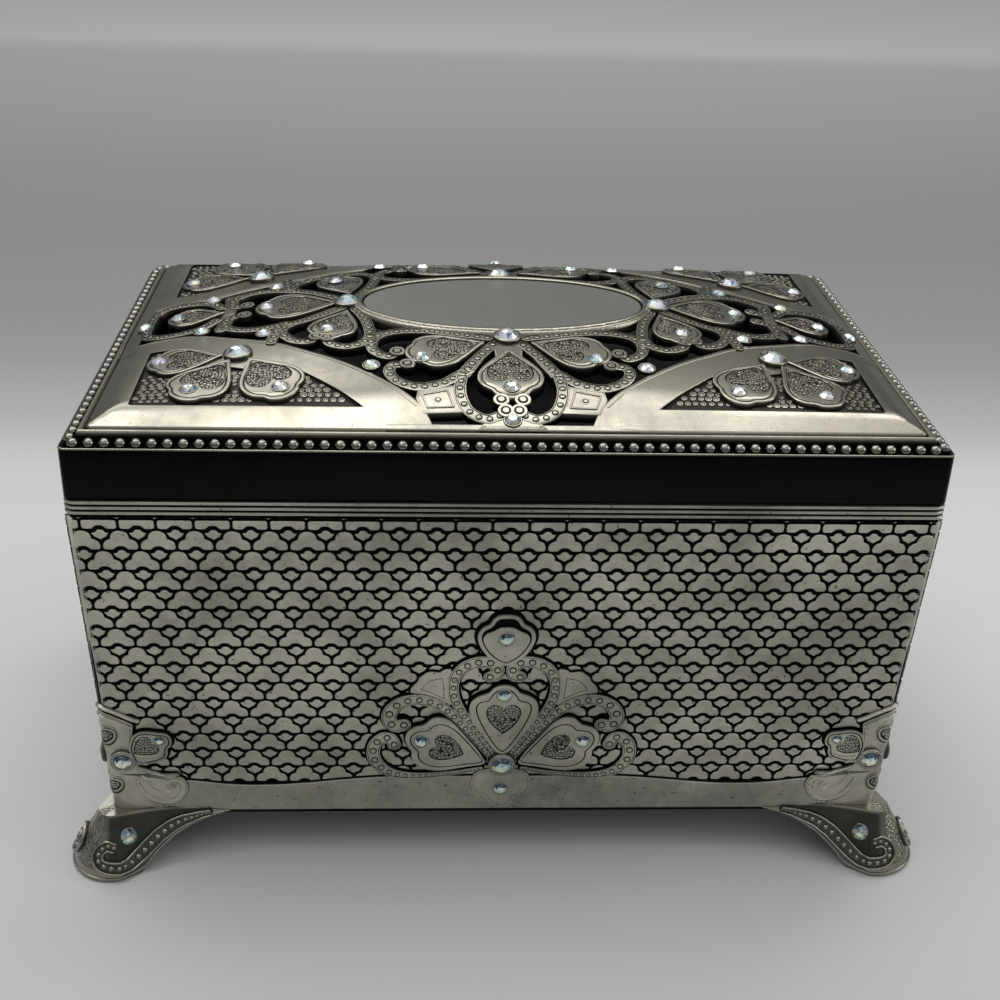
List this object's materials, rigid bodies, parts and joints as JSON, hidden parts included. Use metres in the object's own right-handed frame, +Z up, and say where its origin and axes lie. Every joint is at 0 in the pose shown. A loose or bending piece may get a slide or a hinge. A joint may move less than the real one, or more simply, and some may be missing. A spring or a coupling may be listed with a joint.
{
  "type": "musical jewelry box",
  "caption": "Footed metal jewelry box with a hinged domed openwork lid and oval plaque, scale-pattern walls, flocked tray with ring rolls, and a wind-up comb movement.",
  "frame": {"origin": "on the floor, at the middle of the outline between the feet", "axes": "+X to the right as the front is faced, +Y to the hinged rear, +Z up"},
  "size_m": [0.194, 0.1256, 0.1182],
  "materials": {
    "cast_nickel": "cast zinc alloy, antique nickel plate with a dark patina in the recesses",
    "polished_skirt": "polished black-nickel plate",
    "satin_plaque": "satin",
    "steel": "bright",
    "movement_brass": "machined",
    "velvet": "flock over card and foam",
    "lining_board": "flocked board",
    "crystal": "foiled faceted glass with an iridescent coat"
  },
  "bodies": {
    "case": {"case_walls": "cast_nickel", "base_plate": "steel", "foot_front_left": "cast_nickel", "foot_front_right": "cast_nickel", "foot_rear_left": "cast_nickel", "foot_rear_right": "cast_nickel", "foot_screw_front_left": "steel", "foot_screw_front_right": "steel", "foot_screw_rear_left": "steel", "foot_screw_rear_right": "steel", "corner_ornament_front_left": "cast_nickel", "corner_ornament_front_right": "cast_nickel", "corner_ornament_rear_left": "cast_nickel", "corner_ornament_rear_right": "cast_nickel", "front_ornament": "cast_nickel", "ornament_stone": "crystal", "flocked_tray": "velvet", "ring_roll_1": "velvet", "ring_roll_2": "velvet", "ring_roll_3": "velvet", "ring_roll_4": "velvet", "ring_roll_5": "velvet", "movement_bed": "movement_brass", "comb": "steel", "comb_screw_1": "steel", "comb_screw_2": "steel", "movement_screw_1": "steel", "movement_screw_2": "steel", "governor_bracket": "steel", "rod_guide": "steel", "case_hinge_leaf_left": "steel", "case_hinge_leaf_right": "steel", "hinge_pin_left": "steel", "hinge_pin_right": "steel"},
    "lid": {"lid_frame": "polished_skirt", "bead_border": "cast_nickel", "lid_openwork": "cast_nickel", "oval_plaque": "satin_plaque", "lid_lining_board": "lining_board", "lid_stone_1": "crystal", "lid_stone_2": "crystal", "lid_stone_3": "crystal", "lid_stone_4": "crystal", "lid_stone_5": "crystal", "lid_stone_6": "crystal", "lid_stone_7": "crystal", "lid_stone_8": "crystal", "lid_hinge_leaf_left": "steel", "lid_hinge_leaf_right": "steel"},
    "key": {"winding_key": "steel", "winding_arbor": "steel"},
    "barrel": {"spring_barrel": "movement_brass"},
    "cylinder": {"music_cylinder": "movement_brass"},
    "second_wheel": {"second_wheel": "steel"},
    "air_brake": {"air_brake": "steel"},
    "stop_rod": {"stop_rod": "steel"}
  },
  "joints": [
    {"name": "lid_hinge", "type": "hinge", "parent": "case", "child": "lid", "pos_m": [0, 0.0571, 0.09193], "axis": [-1, 0, 0], "range_deg": [0, 95]},
    {"name": "key_turn", "type": "hinge", "parent": "case", "child": "key", "pos_m": [-0.059, 0.007, 0.01], "axis": [0, 0, 1], "continuous": true},
    {"name": "barrel_turn", "type": "hinge", "parent": "case", "child": "barrel", "pos_m": [-0.059, 0.007, 0.019], "axis": [0, 0, 1], "continuous": true},
    {"name": "cylinder_turn", "type": "hinge", "parent": "case", "child": "cylinder", "pos_m": [-0.038, 0.007, 0.025], "axis": [1, 0, 0], "continuous": true},
    {"name": "second_wheel_turn", "type": "hinge", "parent": "case", "child": "second_wheel", "pos_m": [-0.026, 0.0151, 0.025], "axis": [-1, 0, 0], "continuous": true},
    {"name": "air_brake_turn", "type": "hinge", "parent": "case", "child": "air_brake", "pos_m": [-0.02455, 0.0096, 0.034], "axis": [0, 0, 1], "continuous": true},
    {"name": "stop_rod_slide", "type": "slide", "parent": "case", "child": "stop_rod", "axis": [0, 0, 1], "range_m": [0, 0.003]}
  ],
  "couplings": [
    {"joint": "cylinder_turn", "follows": "barrel_turn", "ratio": 3.5},
    {"joint": "second_wheel_turn", "follows": "barrel_turn", "ratio": 12.25},
    {"joint": "air_brake_turn", "follows": "barrel_turn", "ratio": 245},
    {"joint": "stop_rod_slide", "follows": "lid_hinge", "m_per_rad": 0.0018}
  ]
}
